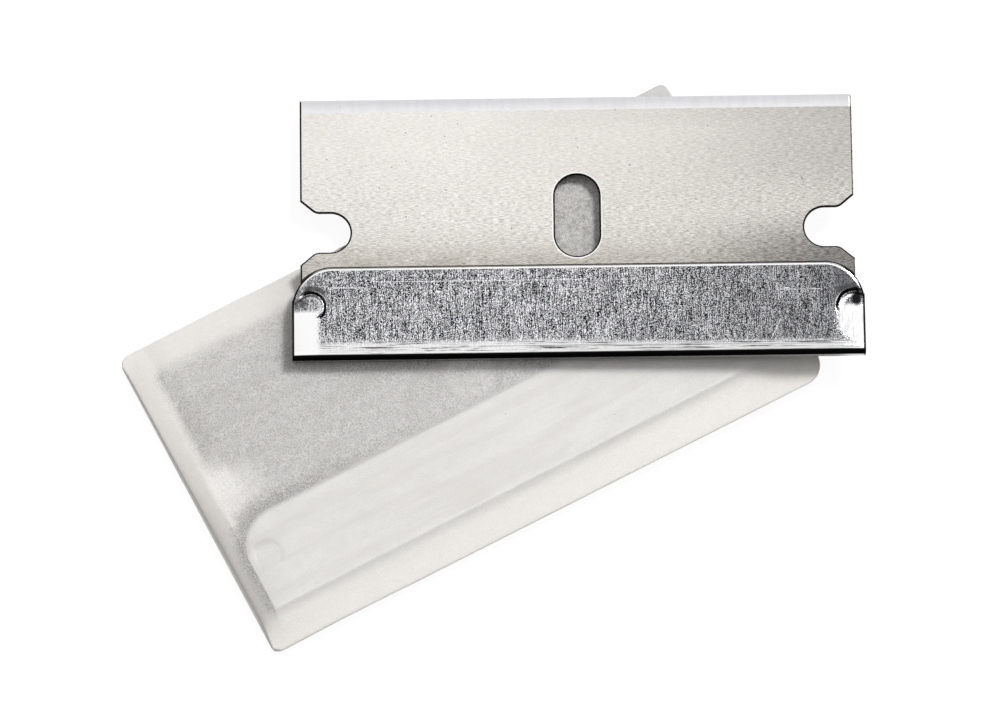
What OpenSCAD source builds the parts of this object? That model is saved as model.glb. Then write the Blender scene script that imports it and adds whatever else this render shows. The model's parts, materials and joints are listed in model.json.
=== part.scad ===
// Two single-edge scraper blades: one bare, lying on one that is still wrapped in waxed paper.
// Millimetres. The origin is the middle of the packet's underside, +Z is up,
// and +X runs along the bare blade's back, with its sharp edge towards +Y.

/* [Blade strip] */
// Length of the steel strip
strip_l = 38.1; // [34:0.1:42]
// Height from the outside of the folded back to the sharp edge
blade_h = 18.78; // [17.5:0.02:20]
// Thickness of the strip
strip_t = 0.23; // [0.15:0.01:0.35]
// Width of the ground bevel along the sharp edge
bevel_h = 0.92; // [0.4:0.02:1.6]
// Thickness left at the sharp edge
edge_t = 0.02; // [0.01:0.01:0.06]
// Width of the centre slot
slot_w = 3.05; // [2:0.05:4]
// Length of the centre slot, end to end
slot_l = 5.85; // [4.5:0.05:7]
// Height of the slot's middle above the outside of the back
slot_y = 10.2; // [9.8:0.02:11.5]
// Height of the notches' middle above the outside of the back
notch_y = 9.16; // [9:0.02:11]
// Height of a notch between its two straight sides
notch_h = 2.8; // [2:0.1:3.4]
// Depth of a notch from the strip's end
notch_depth = 3.45; // [2:0.05:4.5]
// Height of a notch across its flared mouth
mouth_h = 4.6; // [3.5:0.1:4.6]
// Depth of the flare at the notch's mouth
mouth_depth = 1.05; // [0.6:0.05:1.5]
// Radius that eases the flare into the notch's straight side
mouth_r = 0.8; // [0.4:0.1:1.4]

/* [Folded back] */
// Length of the folded back
back_l = 39.25; // [36:0.05:43]
// Height of the folded back
back_h = 6.5; // [5:0.02:6.5]
// Thickness of the back's sheet steel
sheet_t = 0.5; // [0.35:0.01:0.6]
// Outer radius of the long fold
fold_r = 0.25; // [0.2:0.05:0.5]
// Radius of the back's upper corners
back_corner_r = 2.8; // [1:0.1:4]
// Rounding of the back's upper rim
rim_r = 0.3; // [0.05:0.01:0.34]
// Length of each end over which the two leaves are pinched together
pinch_l = 1.9; // [1:0.1:3]
// Depth of the pinch at the very end of each leaf
pinch_depth = 0.14; // [0.05:0.01:0.2]
// Distance of a stake's middle from the end of the back
stake_in = 1.15; // [0.9:0.05:2]
// Height of a stake's middle above the outside of the back
stake_y = 3.6; // [2.5:0.1:4]
// Radius of the round stake
stake_r = 1.05; // [0.6:0.05:1.3]
// Depth of the stake at its deepest side
stake_depth = 0.26; // [0.1:0.01:0.35]
// Tilt of the stake's floor, rising towards the long fold
stake_tilt = 9; // [4:1:12]

/* [Paper packet] */
// Room in the packet's length beyond the folded back
end_room = 3.35; // [2.6:0.05:6]
// Room in the packet's width beyond the blade's height, at the closed end
closed_room = 4.6; // [4.4:0.05:7]
// Room in the packet's width beyond the blade's height, at the open end
open_room = 5.1; // [4.4:0.05:7]
// Thickness of the waxed paper
paper_t = 0.1; // [0.06:0.01:0.15]
// Play between the wrapped blade and the paper, above and below
paper_play = 0.03; // [0.02:0.01:0.1]
// Height of the pressed long folds
fold_h = 0.32; // [0.28:0.01:0.5]
// Height to which the long fold beside the wrapped back stands up from the table, near the closed end
fold_lift = 0.5; // [0:0.05:0.6]
// Height to which the same fold stands up at the open end
open_lift = 0.9; // [0:0.05:1]
// Length from the closed end over which that fold rises
lift_in = 5; // [3:0.5:10]
// Distance of the packet's middle from the wrapped back's middle, along the packet
wrapped_shift = 0.3; // [0:0.05:0.5]
// Distance from the packet's centre line to the middle of the wrapped blade's height
wrapped_off = 0.2; // [0:0.05:1]
// Length of the end flap that is folded under
flap_l = 9; // [5:0.5:14]
// Inset of each side of the flap at its free edge
flap_taper = 1.6; // [0.5:0.1:4]
// Place of the lengthwise lap seam under the packet, from its centre line
seam_in = 6.4; // [4:0.2:7.4]
// Length over which the paper comes down to the table past the flap
ramp_l = 2.5; // [1:0.5:5]
// Width over which the paper steps down at the lap seam
seam_step = 0.3; // [0.2:0.1:0.6]
// Distance that the flat top reaches past the wrapped back's and sharp edge's lines
edge_clear = 0.15; // [0.1:0.01:0.25]
// Corner radius in plan at the closed end, on the wrapped back's side
closed_back_r = 0.7; // [0.5:0.1:2]
// Corner radius in plan at the closed end, on the wrapped sharp edge's side
closed_edge_r = 0.8; // [0.5:0.1:1.4]
// Corner radius in plan at the open end, on the wrapped back's side
open_back_r = 1.5; // [0.5:0.1:2.5]
// Corner radius in plan at the open end, on the wrapped sharp edge's side
open_edge_r = 0.9; // [0.5:0.1:1.4]

/* [Placing] */
// Angle from the bare blade's length to the packet's length
packet_angle = 27.2; // [15:0.1:40]
// Place of the bare blade's middle from the packet's middle, along X
loose_x = 7.34; // [5:0.02:10]
// Place of the bare blade's middle from the packet's middle, along Y
loose_y = 9.48; // [7.5:0.02:11.5]
// Gap between the bare blade and the paper under it
rest_gap = 0.02; // [0.01:0.01:0.1]

/* [Hidden] */

// Overrun of every cut past the face that it leaves through
cut_over = 1;
// Facets of round cuts and corners
$fn = 72;

steel_colour = [0.86, 0.85, 0.83];
back_colour = [0.62, 0.62, 0.64];
paper_colour = [0.93, 0.92, 0.89, 0.75];

// Thickness of the whole back: two leaves with the strip between them
back_t = 2 * sheet_t + strip_t;
half_strip = strip_l / 2;
half_back = back_l / 2;

// Outline of the packet, which follows the blade inside it
packet_l = back_l + end_room;
packet_w_closed = blade_h + closed_room;
packet_w_open = blade_h + open_room;
half_packet = packet_l / 2;

// Heights inside the packet, from the surface that it rests on
flap_t = 2 * paper_t;
wrapped_z = flap_t + paper_t + paper_play;
packet_top = wrapped_z + back_t + paper_play + paper_t;

// Lines across the packet, measured from its centre line towards the wrapped sharp edge
back_line = wrapped_off - blade_h / 2;
ridge_line = back_line + back_h;
edge_line = back_line + blade_h;

// Slope of the paper, from the wrapped back's ridge down to the start of the strip's bevel
drape_angle = atan(sheet_t / (blade_h - bevel_h - back_h));

// Strip: profile of the ground edge, drawn as height above the back and thickness
module strip_profile() {
    bevel_start = blade_h - bevel_h;
    polygon([
        [sheet_t, -strip_t / 2],
        [bevel_start, -strip_t / 2],
        [blade_h, -edge_t / 2],
        [blade_h, edge_t / 2],
        [bevel_start, strip_t / 2],
        [sheet_t, strip_t / 2]
    ]);
}

// One rounded corner between the notch's straight side and its flare, as an outline to cut
module flare_corner() {
    rise = (mouth_h - notch_h) / 2;
    flare_angle = atan2(rise, mouth_depth);
    reach = mouth_r * tan(flare_angle / 2);
    inner_x = half_strip - mouth_depth;
    inner_y = notch_h / 2;
    difference() {
        polygon([
            [inner_x, inner_y],
            [inner_x - reach, inner_y],
            [inner_x - reach, inner_y + mouth_r],
            [inner_x + reach * cos(flare_angle), inner_y + reach * sin(flare_angle)]
        ]);
        translate([inner_x - reach, inner_y + mouth_r]) circle(r = mouth_r);
    }
}

// Outline of the right-hand notch, about its own middle line
module notch_outline() {
    notch_r = notch_h / 2;
    centre_x = half_strip - notch_depth + notch_r;
    slope = (mouth_h - notch_h) / 2 / mouth_depth;
    translate([centre_x, 0]) circle(r = notch_r);
    translate([centre_x, -notch_r]) square([half_strip - centre_x + cut_over, notch_h]);
    polygon([
        [half_strip - mouth_depth, -notch_r],
        [half_strip + cut_over, -mouth_h / 2 - slope * cut_over],
        [half_strip + cut_over, mouth_h / 2 + slope * cut_over],
        [half_strip - mouth_depth, notch_r]
    ]);
    for (side = [0, 1]) mirror([0, side]) flare_corner();
}

// Outline of the slot in the middle of the strip
module slot_outline() {
    end_y = (slot_l - slot_w) / 2;
    for (side = [-1, 1]) translate([0, side * end_y]) circle(d = slot_w);
    translate([-slot_w / 2, -end_y]) square([slot_w, 2 * end_y]);
}

// Steel strip with its ground edge, slot and notches, middle of its thickness at z = 0
module strip() {
    cut_h = strip_t + 2 * cut_over;
    difference() {
        rotate([90, 0, 90])
            translate([0, 0, -half_strip])
            linear_extrude(strip_l) strip_profile();
        translate([0, slot_y, -cut_h / 2]) linear_extrude(cut_h) slot_outline();
        for (side = [0, 1])
            mirror([side, 0, 0])
            translate([0, notch_y, -cut_h / 2]) linear_extrude(cut_h) notch_outline();
    }
}

// Section of the folded back: a round fold, two leaves with eased rims, and the slit for the strip
module back_section() {
    difference() {
        union() {
            for (side = [-1, 1]) {
                translate([fold_r, side * (back_t / 2 - fold_r)]) circle(r = fold_r);
                translate([back_h - rim_r, side * (back_t / 2 - rim_r)]) circle(r = rim_r);
            }
            translate([fold_r, -back_t / 2]) square([back_h - rim_r - fold_r, back_t]);
            translate([0, fold_r - back_t / 2]) square([2 * fold_r, back_t - 2 * fold_r]);
            translate([back_h - 2 * rim_r, rim_r - back_t / 2]) square([2 * rim_r, back_t - 2 * rim_r]);
        }
        translate([sheet_t, -strip_t / 2]) square([back_h + cut_over, strip_t]);
    }
}

// Plan of the folded back, with its two large upper corners
module back_plan() {
    corner_y = back_h - back_corner_r;
    corner_x = half_back - back_corner_r;
    translate([-half_back, 0]) square([back_l, corner_y]);
    translate([-corner_x, 0]) square([2 * corner_x, back_h]);
    for (side = [-1, 1]) translate([side * corner_x, corner_y]) circle(r = back_corner_r);
}

// Wedge that takes the pinch off one leaf at the right-hand end
module pinch_cut() {
    start_x = half_back - pinch_l;
    slope = pinch_depth / pinch_l;
    rotate([90, 0, 0])
        translate([0, 0, -back_h - cut_over])
        linear_extrude(back_h + 2 * cut_over)
        polygon([
            [start_x, back_t / 2],
            [half_back + cut_over, back_t / 2 - pinch_depth - slope * cut_over],
            [half_back + cut_over, back_t / 2 + cut_over],
            [start_x, back_t / 2 + cut_over]
        ]);
}

// Round stake pressed into one leaf at the right-hand end, deepest on its upper side
module stake_cut() {
    floor_z = back_t / 2 - stake_depth;
    translate([half_back - stake_in, stake_y + stake_r, floor_z])
        rotate([-stake_tilt, 0, 0])
        translate([0, -stake_r, 0])
        cylinder(r = stake_r, h = back_t);
}

// Folded back, middle of its thickness at z = 0 and the outside of its fold at y = 0
module folded_back() {
    difference() {
        intersection() {
            rotate([90, 0, 90])
                translate([0, 0, -half_back])
                linear_extrude(back_l) back_section();
            translate([0, 0, -back_t]) linear_extrude(2 * back_t) back_plan();
        }
        for (end = [0, 1], face = [0, 1])
            mirror([end, 0, 0]) mirror([0, 0, face]) {
                pinch_cut();
                stake_cut();
            }
    }
}

// Places of the two blades. Each one's own origin is the middle of its back's outer fold.
module place_wrapped() {
    rotate([0, 0, packet_angle])
        translate([-wrapped_shift, back_line, wrapped_z + back_t / 2])
        children();
}

module place_loose() {
    rotate([0, 0, packet_angle])
        translate([0, ridge_line, packet_top + rest_gap])
        rotate([-drape_angle, 0, 0])
        translate([0, -ridge_line, 0])
        rotate([0, 0, -packet_angle])
        translate([loose_x, loose_y - blade_h / 2, back_t / 2])
        children();
}

module loose_blade() { color(steel_colour) place_loose() strip(); }
module loose_blade_back() { color(back_colour) place_loose() folded_back(); }
module wrapped_blade() { color(steel_colour) place_wrapped() strip(); }
module wrapped_blade_back() { color(back_colour) place_wrapped() folded_back(); }

// Paper sleeve, drawn as rings round the packet, one at each station along it.
// A ring runs over the top from the back's fold to the edge's fold, and returns underneath.

// Length over which the closed end falls from the wrapped back to the end fold
end_fall = half_packet - wrapped_shift - half_back;

// Stations from the closed end to the open one, as distances from the packet's middle
closed_steps = 7;
open_steps = 6;
stations = concat(
    [for (i = [0:closed_steps]) -half_packet + end_fall * (1 - cos(90 * i / closed_steps))],
    [-half_packet + lift_in, -half_packet + flap_l, -half_packet + flap_l + ramp_l, 0],
    [for (i = [0:open_steps]) half_packet - open_back_r * (1 - sin(90 * i / open_steps))]
);

// How far a round corner of radius r draws the side in, at distance d from the end
function drawn_in(r, d) = d >= r ? 0 : r - sqrt(max(0, r * r - (r - d) * (r - d)));

// Half width of the packet at station u, without its corners
function plain_half(u) =
    let (share = (u + half_packet) / packet_l)
    (packet_w_closed * (1 - share) + packet_w_open * share) / 2;

// Places of the packet's two long folds at station u
function back_side(u) = -plain_half(u)
    + drawn_in(closed_back_r, u + half_packet)
    + drawn_in(open_back_r, half_packet - u);
function edge_side(u) = plain_half(u)
    - drawn_in(closed_edge_r, u + half_packet)
    - drawn_in(open_edge_r, half_packet - u);

// Share of the full drape at station u: none at the end fold, all of it from the wrapped back on
function drape_share(u) =
    let (left = 1 - (u + half_packet) / end_fall)
    left <= 0 ? 1 : sqrt(max(0, 1 - left * left));

// Height of the underside at station u and distance v across: raised over the flap, past it at the seam,
// and all along the fold beside the wrapped back
function lift_z(u, v) =
    let (flat_from = back_line + edge_clear,
         share = max(0, (flat_from - v) / (flat_from - back_side(u))),
         start = min(1, (u + half_packet) / lift_in),
         full = fold_lift + (open_lift - fold_lift) * (u + half_packet) / packet_l)
    full * start * (1 - cos(180 * min(1, share))) / 2;
function under_z(u, v) =
    let (past = u + half_packet - flap_l,
         over_flap = past <= 0 ? 1 : past >= ramp_l ? 0 : 1 - past / ramp_l,
         over_seam = v < -seam_in ? 1 : 0)
    max(flap_t * over_flap, paper_t * over_seam) + lift_z(u, v);

// Height of the full drape at distance v, between folds at a and b whose tops are at height low
function slope_z(v) = packet_top - tan(drape_angle) * max(0, v - ridge_line);
function drape_z(v, a, b, low) =
    let (flat_from = back_line + edge_clear,
         flat_to = edge_line + edge_clear)
    v < flat_from
        ? low + (packet_top - low) * (1 - cos(180 * (v - a) / (flat_from - a))) / 2
        : v <= flat_to
            ? slope_z(v)
            : low + (slope_z(flat_to) - low) * (1 + cos(180 * (v - flat_to) / (b - flat_to))) / 2;

// Columns across a ring from fold a to fold b
fall_steps = 5;
function columns(a, b) =
    let (flat_from = back_line + edge_clear,
         flat_to = edge_line + edge_clear)
    concat(
        [for (i = [0:fall_steps]) a + (flat_from - a) * i / fall_steps],
        [-seam_in - seam_step, -seam_in, ridge_line, (ridge_line + edge_line) / 2],
        [for (i = [0:fall_steps]) flat_to + (b - flat_to) * i / fall_steps]
    );

// One ring at station u, drawn in by t all round for the inner skin
function ring(u, t) =
    let (a = back_side(u),
         b = edge_side(u),
         share = drape_share(u),
         middle = (a + b) / 2,
         narrowing = 1 - 2 * t / (b - a),
         x = u + t * (1 - share),
         across = columns(a, b),
         last = len(across) - 1)
    concat(
        [for (v = across)
            let (low = under_z(u, v) + fold_h)
            [x, middle + (v - middle) * narrowing, low + share * (drape_z(v, a, b, low) - low) - t]],
        [for (i = [last:-1:0])
            [x, middle + (across[i] - middle) * narrowing, under_z(u, across[i]) + t]]
    );

module paper_sleeve() {
    outer = [for (u = stations) ring(u, 0)];
    inner = [for (i = [len(stations) - 1:-1:0]) ring(stations[i], paper_t)];
    rings = concat(outer, inner);
    n = len(outer[0]);
    count = len(rings);
    points = [for (r = rings) each r];
    sides = [for (i = [0:count - 2], j = [0:n - 1])
        let (p = i * n + j, q = i * n + (j + 1) % n)
        each [[p, q, p + n], [q, q + n, p + n]]];
    // The two ends of the tube of rings, closed with strips from the top row to the bottom row
    caps = [for (end = [0, 1], j = [0:n / 2 - 2])
        let (base = end * (count - 1) * n,
             p = base + j,
             q = base + n - 1 - j)
        each end == 0
            ? [[p + 1, p, q], [p + 1, q, q - 1]]
            : [[p, p + 1, q], [q, p + 1, q - 1]]];
    color(paper_colour)
        rotate([0, 0, packet_angle])
        polyhedron(points, concat(sides, caps));
}

// End flap, folded flat under the closed end and hinged on the end fold
module paper_end_flap() {
    root = -half_packet;
    tip = root + flap_l;
    half_root = packet_w_closed / 2;
    color(paper_colour)
        rotate([0, 0, packet_angle])
        linear_extrude(flap_t)
        polygon([
            [root, closed_back_r - half_root],
            [root + closed_back_r, -half_root],
            [tip, flap_taper - half_root],
            [tip, half_root - flap_taper],
            [root + closed_edge_r, half_root],
            [root, half_root - closed_edge_r]
        ]);
}

loose_blade();
loose_blade_back();
wrapped_blade();
wrapped_blade_back();
paper_sleeve();
paper_end_flap();
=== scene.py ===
"""Looks for the two single-edge blades: one bare, lying on one in waxed paper.

Lengths are in millimetres unless a name says otherwise, and MM turns them into the frame's metres.
A blade's own axes have their origin in the middle of its outer fold, +X along it, +Y to the sharp edge.
The packet's own axes have +U along its length and +V towards the wrapped sharp edge.
"""

import json
import math

import bmesh
import bpy
import numpy as np
from mathutils import Matrix, Vector
from mathutils.geometry import delaunay_2d_cdt


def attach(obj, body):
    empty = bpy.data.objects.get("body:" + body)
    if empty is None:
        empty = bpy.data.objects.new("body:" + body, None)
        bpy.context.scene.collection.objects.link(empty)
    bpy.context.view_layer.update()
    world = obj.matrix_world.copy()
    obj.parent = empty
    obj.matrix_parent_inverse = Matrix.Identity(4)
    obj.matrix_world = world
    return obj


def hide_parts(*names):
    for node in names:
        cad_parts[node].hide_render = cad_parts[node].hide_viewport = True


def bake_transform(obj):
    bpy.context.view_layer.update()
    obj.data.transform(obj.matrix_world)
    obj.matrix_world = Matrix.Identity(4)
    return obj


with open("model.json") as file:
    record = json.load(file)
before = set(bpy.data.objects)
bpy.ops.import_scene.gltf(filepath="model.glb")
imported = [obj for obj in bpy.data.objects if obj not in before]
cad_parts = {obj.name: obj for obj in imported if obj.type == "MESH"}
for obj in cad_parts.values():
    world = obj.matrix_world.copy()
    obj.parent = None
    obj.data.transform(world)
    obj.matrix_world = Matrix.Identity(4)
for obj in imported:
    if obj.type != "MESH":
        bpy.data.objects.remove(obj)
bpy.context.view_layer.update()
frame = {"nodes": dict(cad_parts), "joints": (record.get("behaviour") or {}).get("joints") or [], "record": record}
scene = bpy.context.scene

MM = 0.001


# Frame: the blades' and the packet's own axes, and their sizes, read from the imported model

mounts = {m["name"]: m for m in frame["record"]["mounts"]}
joints = {j["name"]: j for j in frame["joints"]}


def matrix_of(x, y, z, origin):
    """Matrix of a frame from its three directions and its origin."""
    matrix = Matrix((x, y, z)).transposed().to_4x4()
    matrix.translation = origin
    return matrix


def axes_matrix(origin, along, across):
    """Matrix of a right-handed frame from its origin in metres, its X direction and its Y direction."""
    x = Vector(along).normalized()
    z = x.cross(Vector(across)).normalized()
    return matrix_of(x, z.cross(x), z, Vector(origin))


def local_points(node, matrix):
    """Vertices of a CAD node in a frame's own axes, in millimetres."""
    points = np.array([v.co for v in frame["nodes"][node].data.vertices])
    inverse = np.array(matrix.inverted())
    return (points @ inverse[:3, :3].T + inverse[:3, 3]) / MM


fold_out = Vector(mounts["loose_back_fold"]["axis"])
face_up = Vector(mounts["loose_back_face"]["axis"])
loose_axes = axes_matrix(mounts["loose_back_fold"]["pos_m"], face_up.cross(fold_out), -fold_out)

packet_u = Vector(joints["wrapped_blade_slide"]["axis"])
packet_v = Vector((-packet_u.y, packet_u.x, 0))
packet_axes = axes_matrix((0, 0, 0), packet_u, packet_v)

strip_points = local_points("loose_blade", loose_axes)
back_points = local_points("loose_blade_back", loose_axes)
wrapped_points = local_points("wrapped_blade_back", packet_axes)
flap_points = local_points("paper_end_flap", packet_axes)
sleeve_points = local_points("paper_sleeve", packet_axes)

STRIP_L = float(np.ptp(strip_points[:, 0]))
BLADE_H = float(strip_points[:, 1].max())
STRIP_T = float(np.ptp(strip_points[:, 2]))
BACK_L = float(np.ptp(back_points[:, 0]))
BACK_H = float(back_points[:, 1].max())
BACK_T = float(np.ptp(back_points[:, 2]))
SHEET_T = (BACK_T - STRIP_T) / 2
PACKET_L = float(np.ptp(sleeve_points[:, 0]))
PACKET_TOP = float(sleeve_points[:, 2].max())
FLAP_T = float(np.ptp(flap_points[:, 2]))
PAPER_T = FLAP_T / 2
FLAP_TIP = float(flap_points[:, 0].max())

wrapped_middle = (wrapped_points.min(0) + wrapped_points.max(0)) / 2
WRAPPED_X = float(wrapped_middle[0])
BACK_LINE = float(wrapped_points[:, 1].min())
RIDGE_LINE = BACK_LINE + BACK_H
EDGE_LINE = BACK_LINE + BLADE_H
wrapped_origin = packet_axes @ (Vector((wrapped_middle[0], BACK_LINE, wrapped_middle[2])) * MM)
wrapped_axes = axes_matrix(wrapped_origin, packet_u, packet_v)


def add_object(name, data):
    """New object, linked to the scene."""
    thing = bpy.data.objects.new(name, data)
    scene.collection.objects.link(thing)
    return thing


# Camera: fitted to the corners of both blades in the photograph

CAMERA_TILT = math.radians(14.99)
CAMERA_YAW = math.radians(-3.56)
CAMERA_ROLL = math.radians(3.01)
CAMERA_DISTANCE = 618.3
CAMERA_TARGET = Vector((1.944, 0.878, 0))
FOCAL_PIXELS = 9000
PHOTO_WIDTH = 1000
SENSOR_WIDTH = 36


def make_camera():
    """Long lens, tilted from straight down towards -Y."""
    back = Vector((
        math.sin(CAMERA_YAW) * math.sin(CAMERA_TILT),
        -math.cos(CAMERA_YAW) * math.sin(CAMERA_TILT),
        math.cos(CAMERA_TILT),
    ))
    flat_right = Vector((0, 0, 1)).cross(back).normalized()
    flat_up = back.cross(flat_right)
    right = flat_right * math.cos(CAMERA_ROLL) + flat_up * math.sin(CAMERA_ROLL)
    up = -flat_right * math.sin(CAMERA_ROLL) + flat_up * math.cos(CAMERA_ROLL)
    data = bpy.data.cameras.new("camera")
    data.sensor_width = SENSOR_WIDTH
    data.lens = FOCAL_PIXELS / PHOTO_WIDTH * SENSOR_WIDTH
    data.clip_start = 0.01
    data.clip_end = 10
    camera = add_object("camera", data)
    camera.matrix_world = matrix_of(right, up, back, (CAMERA_TARGET + back * CAMERA_DISTANCE) * MM)
    scene.camera = camera


make_camera()


# Mesh helpers

SMOOTH_ANGLE = 32
FLAT_ANGLE = 5
JOIN_WITHIN = 1e-5


def outward(mesh):
    """Joins doubled points and turns every face of a closed mesh outwards."""
    edit = bmesh.new()
    edit.from_mesh(mesh)
    bmesh.ops.remove_doubles(edit, verts=edit.verts, dist=JOIN_WITHIN * MM)
    bmesh.ops.recalc_face_normals(edit, faces=edit.faces)
    edit.to_mesh(mesh)
    edit.free()


def add_mesh(name, points, faces, matrix, materials, face_slots=None, smooth=SMOOTH_ANGLE):
    """Object from points in millimetres in a frame's own axes. Creases above smooth degrees stay sharp."""
    mesh = bpy.data.meshes.new(name)
    mesh.from_pydata([tuple(p) for p in np.asarray(points) * MM], [], [tuple(f) for f in faces])
    if face_slots is not None:
        mesh.polygons.foreach_set("material_index", face_slots)
    mesh.validate()
    outward(mesh)
    mesh.shade_smooth()
    mesh.set_sharp_from_angle(angle=math.radians(smooth))
    for material in materials:
        mesh.materials.append(material)
    piece = add_object(name, mesh)
    piece.matrix_world = matrix
    return piece


def loft_faces(rings, per_ring):
    """Quads between neighbouring closed rings of equal length."""
    faces = []
    for i in range(rings - 1):
        for j in range(per_ring):
            k = (j + 1) % per_ring
            a = i * per_ring
            b = a + per_ring
            faces.append((a + j, b + j, b + k, a + k))
    return faces


def arc(cx, cy, r, start, stop, steps):
    """Points on an arc, angles in degrees, both ends kept."""
    angles = np.radians(np.linspace(start, stop, steps + 1))
    return [(cx + r * math.cos(a), cy + r * math.sin(a)) for a in angles]


def smoothstep(x):
    x = np.clip(x, 0, 1)
    return x * x * (3 - 2 * x)


# Strip: slot and notches as in the CAD model

SLOT_W, SLOT_L, SLOT_Y = 3.05, 5.85, 10.2
NOTCH_Y, NOTCH_H, NOTCH_DEPTH = 9.16, 2.8, 3.45
MOUTH_H, MOUTH_DEPTH, MOUTH_R = 4.6, 1.05, 0.8
BEVEL_H = 0.92
BEVEL_Y = BLADE_H - BEVEL_H
EDGE_T = 0.02
# A cut edge from the face outwards: inset from the outline and drop below the face at each step
CUT_STEPS = ((0.2, 0), (0.12, 0.003), (0.05, 0.04), (0, 0.1))
FACE, BEVEL, POLISH_HIGHLIGHT, CUT_SHADE = range(4)


def notch_side(steps):
    """Right-hand notch from its lower mouth corner round to its upper one, about the notch's middle line."""
    half = STRIP_L / 2
    r = NOTCH_H / 2
    centre = half - NOTCH_DEPTH + r
    rise = (MOUTH_H - NOTCH_H) / 2
    flare = math.atan2(rise, MOUTH_DEPTH)
    reach = MOUTH_R * math.tan(flare / 2)
    inner = half - MOUTH_DEPTH
    flare_arc = arc(inner - reach, r + MOUTH_R, MOUTH_R, 270, 270 + math.degrees(flare), steps // 3)
    upper = arc(centre, 0, r, 180, 90, steps) + flare_arc + [(half, MOUTH_H / 2)]
    lower = [(x, -y) for x, y in reversed(upper)]
    return lower[:-1] + upper


def strip_outline(steps):
    """Outline of the strip, anticlockwise from its lower right corner in the back's slit."""
    half = STRIP_L / 2
    right = [(half, SHEET_T)]
    right += [(x, y + NOTCH_Y) for x, y in notch_side(steps)]
    right += [(half, BEVEL_Y), (half, BLADE_H)]
    left = [(-x, y) for x, y in reversed(right)]
    return np.array(right + left)


def slot_loop(steps):
    """Outline of the slot, clockwise."""
    r = SLOT_W / 2
    rise = (SLOT_L - SLOT_W) / 2
    return np.array(arc(0, SLOT_Y + rise, r, 180, 0, steps) + arc(0, SLOT_Y - rise, r, 0, -180, steps))


def unit(directions):
    return directions / np.linalg.norm(directions, axis=1)[:, None]


def left_of(directions):
    return np.stack([-directions[:, 1], directions[:, 0]], 1)


def inset(loop, amount):
    """Loop moved to its left by amount, which is into the steel for the outline and for the slot."""
    before = unit(loop - np.roll(loop, 1, 0))
    after = unit(np.roll(loop, -1, 0) - loop)
    normal = unit(left_of(before + after))
    facing = (normal * left_of(after)).sum(1)
    return loop + normal * (amount / np.clip(facing, 0.5, 1))[:, None]


def half_thickness(y):
    """Half the strip's thickness at height y, thinning over the ground bevel."""
    share = np.clip((y - BEVEL_Y) / BEVEL_H, 0, 1)
    return (STRIP_T * (1 - share) + EDGE_T * share) / 2


def inside(points, loop):
    """For each point, whether it lies inside a closed loop."""
    x, y = points[:, :1], points[:, 1:]
    x0, y0 = loop[:, 0], loop[:, 1]
    x1, y1 = np.roll(x0, -1), np.roll(y0, -1)
    crosses = (y0 > y) != (y1 > y)
    rise = np.where(y1 == y0, 1, y1 - y0)
    at = x0 + (y - y0) * (x1 - x0) / rise
    return (crosses & (x < at)).sum(1) % 2 == 1


def strip_piece(name, matrix, materials, steps):
    """Strip with its slot, notches, ground bevel and eased cut edges."""
    loops = [strip_outline(steps), slot_loop(steps)]
    inner_loops = [inset(loop, CUT_STEPS[0][0]) for loop in loops]
    flat, edges, starts = [], [], []
    for loop in inner_loops:
        base = len(flat)
        starts.append(base)
        flat.extend(Vector(p) for p in loop)
        edges.extend((base + i, base + (i + 1) % len(loop)) for i in range(len(loop)))
    half = STRIP_L / 2 - CUT_STEPS[0][0]
    edges.append((len(flat), len(flat) + 1))
    flat.extend([Vector((-half, BEVEL_Y)), Vector((half, BEVEL_Y))])
    verts, _, triangles, origins, _, _ = delaunay_2d_cdt(flat, edges, [], 0, 1e-7)
    cap = np.array([tuple(v) for v in verts])
    middles = np.array([cap[list(t)].mean(0) for t in triangles])
    kept = inside(middles, inner_loops[0]) & ~inside(middles, inner_loops[1])
    triangles = [t for t, keep in zip(triangles, kept) if keep]
    cap_slots = [BEVEL if m[1] > BEVEL_Y else FACE for m, keep in zip(middles, kept) if keep]
    place = {o: i for i, group in enumerate(origins) for o in group}

    n = len(cap)
    thick = half_thickness(cap[:, 1])
    points = [np.column_stack([cap, thick]), np.column_stack([cap, -thick])]
    total = 2 * n
    faces = list(triangles) + [(c + n, b + n, a + n) for a, b, c in triangles]
    slots = cap_slots * 2
    for loop, start, band in zip(loops, starts, (FACE, POLISH_HIGHLIGHT)):
        count = len(loop)
        rim = [place[start + i] for i in range(count)]
        columns = [rim]
        thick = half_thickness(loop[:, 1])
        levels = []
        for depth, drop in CUT_STEPS[1:]:
            z = thick - np.minimum(drop, thick * 0.8)
            levels.append(np.column_stack([inset(loop, depth), z]))
        levels += [level * (1, 1, -1) for level in reversed(levels)]
        for level in levels:
            points.append(level)
            columns.append(list(range(total, total + count)))
            total += count
        columns.append([i + n for i in rim])
        last = len(columns) - 2
        for step, (upper, lower) in enumerate(zip(columns, columns[1:])):
            for i in range(count):
                j = (i + 1) % count
                faces.append((upper[j], upper[i], lower[i], lower[j]))
                sharp = min(loop[i, 1], loop[j, 1]) > BLADE_H - 0.01
                slots.append(BEVEL if sharp else band if step in (0, last) else CUT_SHADE)
    return add_mesh(name, np.concatenate(points), faces, matrix, materials, slots, FLAT_ANGLE)


# Folded back: plan, rounded fold and rim, pinched and staked ends

BACK_CORNER_R = 2.8
CORNER_X = BACK_L / 2 - BACK_CORNER_R
CORNER_Y = BACK_H - BACK_CORNER_R
FOLD_R = 0.25
RIM_R = 0.3
# Share that the rim's radius loses at the ends, height up to which it is lost, and rise over which it returns
RIM_FADE, RIM_FADE_Y, RIM_FADE_H = 0.8, 3.2, 1.6
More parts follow.
